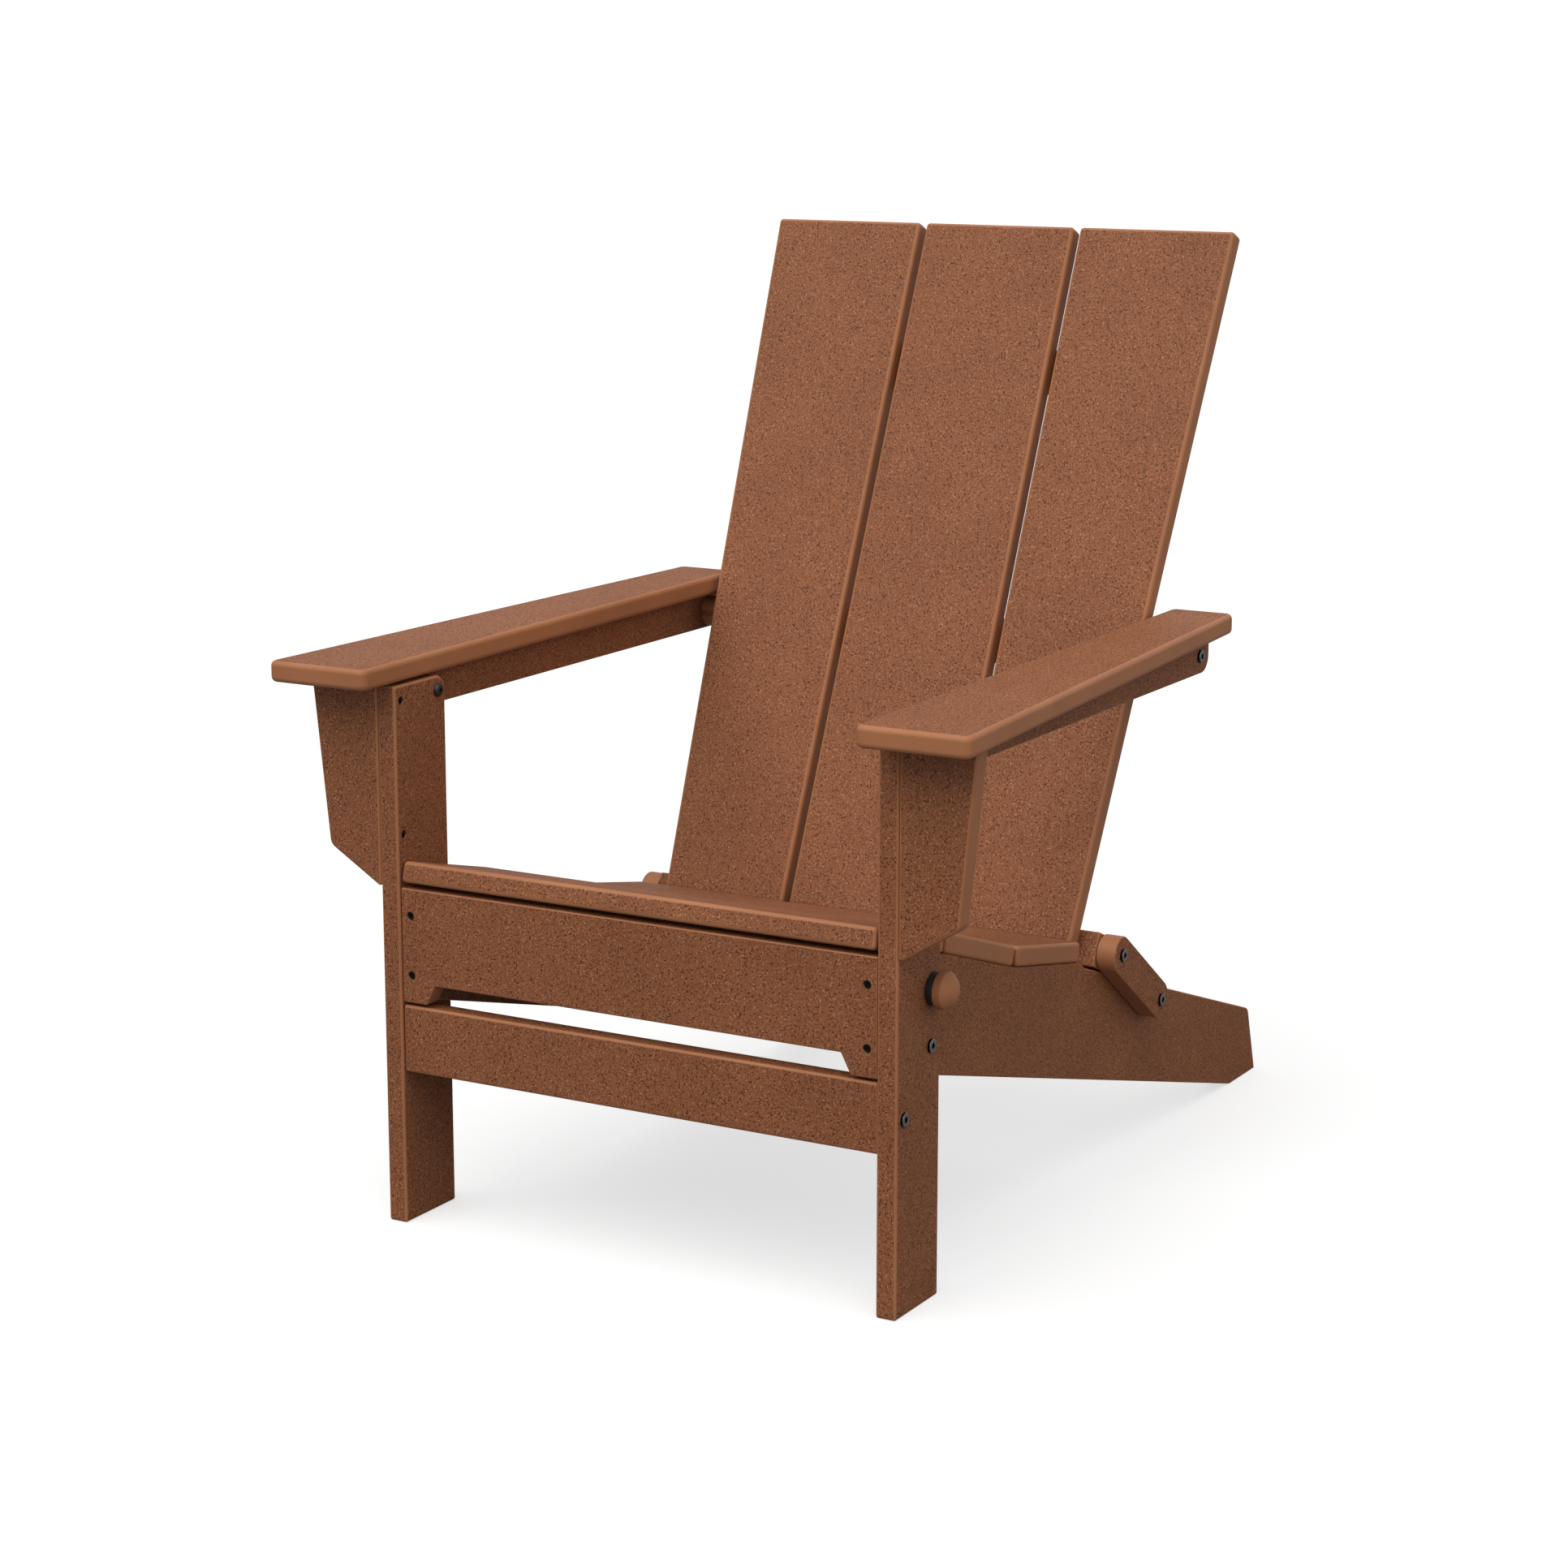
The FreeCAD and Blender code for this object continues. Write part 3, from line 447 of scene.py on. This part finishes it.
@dataclass
class Site:
    """Where one fastener sits: its head's outer face, the way it goes in, and its CAD size."""

    END: ClassVar[float] = 0.3 * MM        # how near a solid's end counts as on it
    WIDEST: ClassVar[float] = 0.97         # share of the largest radius that counts as the head
    UPRIGHT: ClassVar[float] = 0.9         # from this share of Z on, the axis counts as upright
    head: np.ndarray
    inward: np.ndarray
    length: float
    head_radius: float
    shank_radius: float
    head_height: float

    @classmethod
    def of(cls, points: np.ndarray, along: np.ndarray | None = None) -> Site:
        """Read a site from a solid's points.

        The axis joins the middles of the two ends in the direction in which the points spread
        most. It runs through the middle of the points' extent both ways across it, and the head
        is at the end whose points stand furthest from it.

        Args:
            points: the solid's vertices.
            along: the axis, where it is known and the solid is short.

        Returns:
            The site.
        """
        if along is None:
            spread = points - points.mean(0)
            step = spread @ np.linalg.svd(spread, full_matrices=False)[2][0]
            ends = [points[step > step.max() - cls.END], points[step < step.min() + cls.END]]
            along = np.subtract(*[(end.min(0) + end.max(0)) / 2 for end in ends])
        along = along / np.linalg.norm(along)
        sides = np.linalg.svd(along[None])[2][1:]
        middle = sum((points @ side).min() / 2 * side + (points @ side).max() / 2 * side for side in sides)
        step = points @ along
        middle = middle + along * (step.min() + step.max()) / 2
        step = step - middle @ along
        out = np.linalg.norm(points - middle - np.outer(step, along), axis=1)
        wide = step[out > out.max() * cls.WIDEST]
        if abs(wide.mean() - step.max()) < abs(wide.mean() - step.min()):
            along, step = -along, -step
            wide = -wide
        far = out[step > step.max() - 0.01 * MM]
        head_height = wide.max() - step.min()
        return cls(middle + along * step.min(), along, float(np.ptp(step)), float(out.max()),
                   float(far.max()), float(head_height))

    def carry(self, along: np.ndarray, out: np.ndarray, angle: np.ndarray) -> np.ndarray:
        """Points at `along` the axis and `out` from it, at an angle round it.

        Args:
            along: distance inwards from the head's outer face, as (rows, columns).
            out: radius, as (rows, columns).
            angle: angle round the axis, as (columns,).

        Returns:
            (rows, columns, 3) points.
        """
        helper = np.array([0.0, 0.0, 1.0]) if abs(self.inward[2]) < self.UPRIGHT else ACROSS
        side = np.cross(helper, self.inward)
        side /= np.linalg.norm(side)
        up = np.cross(self.inward, side)
        ring = np.cos(angle)[:, None] * side + np.sin(angle)[:, None] * up
        return self.head + along[..., None] * self.inward + out[..., None] * ring


def solids(node: str) -> list[np.ndarray]:
    """Split a CAD node into its separate solids.

    Vertices at one place are taken as one, and each then takes the lowest label among its
    neighbours until none changes.

    Args:
        node: the CAD node's name.

    Returns:
        The vertices of each solid.
    """
    mesh = frame["nodes"][node].data
    points = np.empty(len(mesh.vertices) * 3, np.float32)
    mesh.vertices.foreach_get("co", points)
    points = points.reshape(-1, 3).astype(float)
    edges = np.empty(len(mesh.edges) * 2, np.int32)
    mesh.edges.foreach_get("vertices", edges)
    _, first, place = np.unique(points.round(6), axis=0, return_index=True, return_inverse=True)
    ends = place.reshape(-1)[edges.reshape(-1, 2)]
    label = np.arange(len(first))
    while True:
        lowest = label.copy()
        np.minimum.at(lowest, ends[:, 0], label[ends[:, 1]])
        np.minimum.at(lowest, ends[:, 1], label[ends[:, 0]])
        lowest = lowest[lowest]
        if (lowest == label).all():
            break
        label = lowest
    unique = points[first]
    return [unique[label == number] for number in np.unique(label)]


# ---------------------------------------------------------------------------- fasteners
class Drive(Enum):
    """Shape of the recess in a head."""

    HEX = "hex"
    SQUARE = "square"


@dataclass
class Turned:
    """A bolt or screw: head with a recess, then a shank with a helical thread."""

    columns: int = 48
    drive: Drive = Drive.HEX
    recess_share: float = 0.40
    recess_depth: float = 0.64
    rim_share: float = 0.35
    pitch: float = 1.25 * MM
    thread_depth: float = 0.45 * MM
    thread_share: float = 0.55
    rows_per_turn: int = 4
    point: float = 0.6 * MM

    def recess(self, angle: np.ndarray, reach: float) -> np.ndarray:
        """Radius of the recess at an angle, for a recess that reaches so far at its flats."""
        if self.drive is Drive.HEX:
            return hexagon(angle, reach)
        quarter = math.pi / 2
        return reach / np.cos((angle + quarter / 2) % quarter - quarter / 2)

    def grid(self, site: Site) -> np.ndarray:
        """Surface of one fastener.

        Rows run from the recess's floor over the head and down the shank to the tip. In the
        recess the radius follows the drive's outline, and on the thread it swings by the
        thread's depth as the helix passes.

        Args:
            site: where the fastener sits.

        Returns:
            (rows, columns, 3) points.
        """
        angle = np.linspace(0, 2 * math.pi, self.columns, endpoint=False)
        head, radius = site.head_height, site.head_radius
        reach, floor = radius * self.recess_share, head * self.recess_depth
        rim = head * self.rim_share
        easing = reach * 0.06
        inside = np.array([(floor, 0.0), (floor, reach), (easing, reach), (0.0, reach + easing)])
        crown = arc((rim, radius - rim), rim, 180, 90, 9)
        under = np.array([(head - easing, radius), (head, radius - easing), (head, site.shank_radius)])
        profile = np.vstack([inside, crown, under])
        along = np.repeat(profile[:, :1], self.columns, axis=1)
        out = np.repeat(profile[:, 1:], self.columns, axis=1)
        out[1:4] = self.recess(angle, 1.0)[None] * profile[1:4, 1:]
        start = site.length - (site.length - head) * self.thread_share
        turns = (site.length - self.point - start) / self.pitch
        depth = np.linspace(start, site.length - self.point, int(turns * self.rows_per_turn) + 2)
        wave = 0.5 - 0.5 * np.cos(2 * math.pi * (depth[:, None] / self.pitch) - angle[None])
        fade = np.clip((depth - start) / self.pitch, 0, 1)[:, None]
        thread = site.shank_radius - self.thread_depth * wave * fade
        tip = np.full((1, self.columns), site.shank_radius - self.thread_depth - self.point / 2)
        along = np.vstack([along, np.repeat(depth[:, None], self.columns, axis=1),
                           np.full((2, self.columns), site.length)])
        out = np.vstack([out, thread, tip, np.zeros((1, self.columns))])
        return site.carry(along, np.maximum(out, 0.0), angle)


@dataclass
class DomedBolt(Turned):
    """A bolt with a full domed head."""

    rim_share: float = 0.85
    recess_share: float = 0.30


@dataclass
class WoodScrew(Turned):
    """A coarse screw with a square recess."""

    columns: int = 20
    drive: Drive = Drive.SQUARE
    recess_share: float = 0.34
    rim_share: float = 0.15
    pitch: float = 2.8 * MM
    thread_depth: float = 0.7 * MM
    rows_per_turn: int = 3
    point: float = 3.0 * MM


@dataclass
class Nut:
    """A hexagonal nut with both faces chamfered and a bore with rings for its thread."""

    columns: int = 60
    bore: float = 4.0 * MM
    chamfer: float = 0.55
    rows: int = 5
    face: float = 0.02          # share of the height between a face and the chamfer's first row
    band: float = 0.2           # share of the height that each chamfer may take
    countersink: float = 1.12   # of the bore's mouths, in bores

    def grid(self, site: Site) -> np.ndarray:
        """Surface of one nut.

        The outside's radius is the hexagon's, but no more than a cone's that opens from each
        face. The bore returns from the far face to the near one, and the poles close it at
        the bore's ends.

        Args:
            site: where the nut sits.

        Returns:
            (rows, columns, 3) points.
        """
        angle = np.linspace(0, 2 * math.pi, self.columns, endpoint=False)
        height = site.length
        flat = site.head_radius * math.cos(math.pi / 6)
        rise = np.concatenate([[0.0], np.linspace(self.face, self.band, self.rows)])
        level = np.concatenate([rise, (1 - rise)[::-1]])
        near = np.minimum(level, 1 - level)[:, None] * height
        side = np.minimum(hexagon(angle, flat)[None], flat * 0.97 + near / self.chamfer)
        along = np.repeat(level[:, None] * height, self.columns, axis=1)
        mouths = np.array([(self.face, 1.0), (0.0, self.countersink)])
        bore, pole = np.full((2, self.columns), self.bore), np.zeros((1, self.columns))
        out = np.vstack([pole, mouths[:, 1:] * bore, side, mouths[::-1, 1:] * bore, pole])
        rim = mouths[:, :1] * height * np.ones((2, self.columns))
        along = np.vstack([np.full((1, self.columns), height * 0.3), rim, along,
                           height - rim[::-1], np.full((1, self.columns), height * 0.7)])
        return site.carry(along, out, angle)


@dataclass
class Peg:
    """A locking peg turned in one piece: domed head, eased rim, neck and straight shank."""

    columns: int = 96
    dome: float = 11.5 * MM
    rim: float = 2.4 * MM
    heel: float = 1.5 * MM
    tip_ease: float = 0.8 * MM

    def grid(self, site: Site) -> np.ndarray:
        """Surface of one peg.

        The dome is a cap of the sphere that rises by `dome` over the head's radius. A rim arc
        joins it to the head's side, and small arcs ease the back of the head and the tip.

        Args:
            site: where the peg sits.

        Returns:
            (rows, columns, 3) points.
        """
        radius, shank = site.head_radius, site.shank_radius
        sphere = (radius ** 2 + self.dome ** 2) / (2 * self.dome)
        reach = (radius - self.rim * 0.6) * np.sin(np.linspace(0, math.pi / 2, 22))
        cap = np.stack([sphere - np.sqrt(sphere ** 2 - reach ** 2), reach], axis=-1)
        side = cap[-1, 0] + self.rim
        back = site.head_height + self.heel
        rim = arc((side, radius - self.rim), self.rim, 150, 90, 8)
        heel = arc((back - self.heel, radius - self.heel), self.heel, 90, 0, 6)
        neck = arc((back + self.tip_ease, shank + self.tip_ease), self.tip_ease, 180, 270, 5)
        end = arc((site.length - self.tip_ease, shank - self.tip_ease), self.tip_ease, 90, 0, 5)
        profile = np.vstack([cap, rim, heel, neck, end, [(site.length, 0.0)]])
        angle = np.linspace(0, 2 * math.pi, self.columns, endpoint=False)
        along = np.repeat(profile[:, :1], self.columns, axis=1)
        out = np.repeat(profile[:, 1:], self.columns, axis=1)
        return site.carry(along, out, angle)


@dataclass
class Collar:
    """A moulded sleeve: eased outer rims, a shallow groove round its middle and an open bore."""

    columns: int = 96
    ease: float = 1.2 * MM
    groove: float = 0.5 * MM
    play: float = 0.05 * MM

    def grid(self, site: Site, bore: float) -> np.ndarray:
        """Surface of one collar, as a ring whose profile closes on itself.

        Args:
            site: where the collar sits; its head's outer face is the outer end.
            bore: radius of the hole.

        Returns:
            (rows, columns, 3) points; the last row repeats the first.
        """
        radius, length, ease = site.head_radius, site.length, self.ease
        near = arc((ease, radius - ease), ease, 180, 90, 6)
        waist = [(length * share, radius - self.groove * dip)
                 for share, dip in ((0.44, 0), (0.48, 1), (0.52, 1), (0.56, 0))]
        far = arc((length - ease, radius - ease), ease, 90, 0, 6)
        mouth = [(length, bore + ease / 2), (length - ease / 2, bore),
                 (ease / 2, bore), (0.0, bore + ease / 2)]
        profile = np.vstack([near, waist, far, mouth, near[:1]])
        angle = np.linspace(0, 2 * math.pi, self.columns, endpoint=False)
        along = np.repeat(profile[:, :1], self.columns, axis=1)
        out = np.repeat(profile[:, 1:], self.columns, axis=1)
        return site.carry(along, out, angle)


def add_ring(name: str, grids: list[np.ndarray], material: bpy.types.Material) -> bpy.types.Object:
    """Make one smooth-shaded mesh from grids that wrap both ways.

    Args:
        name: the piece's name.
        grids: point grids whose last row repeats the first.
        material: the finish.

    Returns:
        The new object, at the origin.
    """
    vertices, faces, offset = [], [], 0
    for grid in grids:
        rows, columns = grid.shape[0] - 1, grid.shape[1]
        index = offset + np.arange(rows * columns).reshape(rows, columns)
        after, below = np.roll(index, -1, axis=1), np.roll(index, -1, axis=0)
        quads = np.stack([index, after, np.roll(after, -1, axis=0), below], axis=-1)
        vertices.append(grid[:-1].reshape(-1, 3))
        faces += quads.reshape(-1, 4).tolist()
        offset += rows * columns
    return add_mesh(name, vertices, faces, material)


# ---------------------------------------------------------------------------- sub-assemblies
def finish_node(node: str, material: bpy.types.Material) -> None:
    """Give a CAD node one finish, in place of what it has."""
    materials = frame["nodes"][node].data.materials
    materials.clear()
    materials.append(material)


@dataclass
class Hardware:
    """Bolts, nuts, screws, pegs and collars in place of their plain CAD solids."""

    bolts: tuple[str, ...] = ("leg_pivot_bolts", "link_pivot_bolts", "back_foot_bolts",
                              "back_pivot_bolts", "stretcher_bolts")
    domed: tuple[str, ...] = ("arm_pivot_bolts",)
    nuts: tuple[str, ...] = ("leg_pivot_nuts", "link_pivot_nuts",
                             "arm_pivot_nut_left", "arm_pivot_nut_right")
    screws: tuple[str, ...] = ("apron_screws", "bracket_screws", "seat_slat_screws", "cleat_screws",
                               "mid_rail_screws", "low_rail_screws", "arm_screws_left", "arm_screws_right")
    barrels: tuple[str, ...] = ("stretcher_barrel_nuts", "mid_rail_barrel_nuts", "low_rail_barrel_nuts")
    pegs: tuple[str, ...] = ("peg_left", "peg_right")
    collar: str = "peg_collars"

    def settle(self, piece: bpy.types.Object, node: str) -> None:
        """Tie a finished piece to the frame in place of a CAD node."""
        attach(piece, frame["nodes"][node]["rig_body"])
        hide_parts(node)
        LOG.info("%s stands for %s: %d faces", piece.name, node, len(piece.data.polygons))

    def build(self, lumber: PlasticLumber) -> None:
        """Build and place every fastener.

        Args:
            lumber: the finish that the pegs share.
        """
        steel, heads = STEEL.material("steel"), SHADED_HEAD_STEEL.material("shaded_steel_heads")
        # sunk: the screws' near-black finish, painted shade of their holes
        black, sunk = BLACK.material("black_coat"), SHADED_SUNK_BLACK.material("black_sunk_shaded")
        moulded = MOULDED_BLACK.material("black_moulded")
        # the pegs take the lighter routed colour nearly all over, partly painted light
        turned = lumber.material("lumber_turned", [])
        kinds = ((self.bolts, Turned(), ACROSS, heads, "steel_bolt", "button_head"),
                 (self.domed, DomedBolt(), ACROSS, black, "black_bolt", "domed_head"),
                 (self.screws, WoodScrew(), None, sunk, "screw", "square_drive"))
        for nodes, shape, axis, material, slot, ending in kinds:
            for node in nodes:
                grids = [shape.grid(Site.of(points, axis)) for points in solids(node)]
                self.settle(add_piece(f"{node}_{ending}", grids, material), node)
        for node in self.nuts:
            grids = [Nut().grid(Site.of(points, ACROSS)) for points in solids(node)]
            self.settle(add_piece(f"{node}_chamfered", grids, steel), node)
        for node in self.pegs:
            site = Site.of(solids(node)[0], ACROSS)
            self.settle(add_piece(f"{node}_turned", [Peg().grid(site)], turned), node)
        bore = Site.of(solids(self.pegs[0])[0], ACROSS).shank_radius + Collar.play
        grids = [Collar().grid(Site.of(points, ACROSS), bore) for points in solids(self.collar)]
        self.settle(add_ring("peg_collars_moulded", grids, moulded), self.collar)
        for node in self.barrels:
            finish_node(node, steel)


@dataclass
class Boards:
    """Finish of every board that keeps its CAD shape."""

    lumber: PlasticLumber = field(default_factory=PlasticLumber)
    square: tuple[str, ...] = ("front_leg_left", "front_leg_right", "stretcher", "apron", "side_rail_left",
                               "side_rail_right", "mid_cross_rail", "arm_rail_left", "arm_rail_right")
    leaning: tuple[str, ...] = ("low_cross_rail", "upper_cleat", "back_slat_left", "back_slat_centre",
                                "back_slat_right")
    flat: tuple[str, ...] = ("arm_board_left", "arm_board_right")
    upright: tuple[str, ...] = ("bracket_left", "bracket_right")
    links: tuple[str, ...] = ("link_left", "link_right")
    seat: tuple[str, ...] = ("seat_slat_front", "seat_slat_middle", "seat_slat_rear")

    def thickness_axis(self, node: str) -> np.ndarray:
        """Direction through a board's thickness: the normal of its mesh's largest face."""
        polygons = frame["nodes"][node].data.polygons
        areas = np.empty(len(polygons), np.float32)
        normals = np.empty(len(polygons) * 3, np.float32)
        polygons.foreach_get("area", areas)
        polygons.foreach_get("normal", normals)
        return normals.reshape(-1, 3)[areas.argmax()].astype(float)

    def dress(self) -> None:
        """Give every board its finish, with the planed faces that it has."""
        x, y, z = np.eye(3)
        groups = [("lumber_square", self.square, [x, y, z]), ("lumber_flat", self.flat, [z]),
                  ("lumber_upright", self.upright, [y]), ("lumber_link", self.links, [x]),
                  ("lumber_back", self.leaning, [self.thickness_axis("back_slat_centre")])]
        for node in self.seat:
            through = self.thickness_axis(node)
            groups.append(("lumber_" + node, (node,), [through, np.cross(x, through)]))
        for name, nodes, planed in groups:
            material = self.lumber.material(name, planed)
            for node in nodes:
                finish_node(node, material)
                LOG.info("%s dressed as %s", node, name)


# ---------------------------------------------------------------------------- studio
@dataclass
class Studio:
    """Pale floor, soft light and the camera."""

    distance_spot: tuple[float, float, float] = (1.78405, -3.26805, 1.21551)
    turn: float = 29.76
    tilt: float = -12.15
    lens: float = 80.0
    sensor: float = 36.0
    floor_half: float = 30.0
    floor_tone: float = 0.33
    floor_bounce: float = 0.17
    floor_glow: float = 0.65
    sky: float = 0.62
    sky_seen: float = 1.02
    key: float = 2.55
    key_spread: float = 66.0
    key_tilt: tuple[float, float] = (28.0, -5.0)
    fill: float = 0.56
    fill_spread: float = 60.0
    fill_tilt: tuple[float, float] = (24.0, 70.0)

    def floor(self) -> None:
        """Lay a pale floor at the feet's level."""
        half = self.floor_half
        mesh = bpy.data.meshes.new("floor")
        corners = [(-half, -half, 0), (half, -half, 0), (half, half, 0), (-half, half, 0)]
        mesh.from_pydata(corners, [], [(0, 1, 2, 3)])
        shader = Shader("floor_paper")
        shader.surface.inputs["Roughness"].default_value = 0.9
        shader.surface.inputs["Specular IOR Level"].default_value = 0.0
        shader.surface.inputs["Emission Color"].default_value = (1.0, 1.0, 1.0, 1.0)
        seen = shader.add("LightPath").outputs["Is Camera Ray"]
        tone = shader.mix(seen, (self.floor_bounce,) * 3, (self.floor_tone,) * 3)
        shader.join(tone, shader.surface.inputs["Base Color"])
        glow = shader.math("MULTIPLY", seen, self.floor_glow)
        shader.join(glow, shader.surface.inputs["Emission Strength"])
        mesh.materials.append(shader.material)
        floor = bpy.data.objects.new("floor", mesh)
        bpy.context.scene.collection.objects.link(floor)

    def light(self) -> None:
        """Set an even pale sky, one very soft sun from above and a faint one from the side."""
        world = bpy.data.worlds.new("studio")
        bpy.context.scene.world = world
        world.use_nodes = True
        tree = world.node_tree
        background = next(n for n in tree.nodes if n.type == "BACKGROUND")
        background.inputs["Color"].default_value = (1.0, 1.0, 1.0, 1.0)
        rays = tree.nodes.new("ShaderNodeLightPath")
        strength = tree.nodes.new("ShaderNodeMapRange")
        strength.inputs["To Min"].default_value = self.sky
        strength.inputs["To Max"].default_value = self.sky_seen
        tree.links.new(rays.outputs["Is Camera Ray"], strength.inputs["Value"])
        tree.links.new(strength.outputs["Result"], background.inputs["Strength"])
        lamps = (("key", self.key, self.key_spread, self.key_tilt),
                 ("fill", self.fill, self.fill_spread, self.fill_tilt))
        for name, energy, spread, tilt in lamps:
            lamp = bpy.data.lights.new(name, "SUN")
            lamp.energy = energy
            lamp.angle = math.radians(spread)
            lamp.color = (1.0, 0.985, 0.965)
            lamp_object = bpy.data.objects.new(name, lamp)
            lamp_object.rotation_euler = (*(math.radians(angle) for angle in tilt), 0.0)
            bpy.context.scene.collection.objects.link(lamp_object)

    def camera(self) -> None:
        """Stand the camera before the chair, to the sitter's left."""
        data = bpy.data.cameras.new("camera")
        data.lens = self.lens
        data.sensor_width = self.sensor
        data.clip_end = 100.0
        camera = bpy.data.objects.new("camera", data)
        camera.location = self.distance_spot
        camera.rotation_euler = (math.radians(90 + self.tilt), 0.0, math.radians(self.turn))
        bpy.context.scene.collection.objects.link(camera)
        bpy.context.scene.camera = camera
        bpy.context.scene.view_settings.view_transform = "Standard"

    def build(self) -> None:
        """Set up the floor, the light and the camera."""
        self.camera()
        self.floor()
        self.light()


def main() -> None:
    """Build the studio and dress the chair, one sub-assembly after another."""
    logging.basicConfig(level=logging.INFO, format="%(name)s: %(message)s")
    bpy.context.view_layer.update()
    Studio().build()
    boards = Boards()
    boards.dress()
    Hardware().build(boards.lumber)


if __name__ == "__main__":
    main()
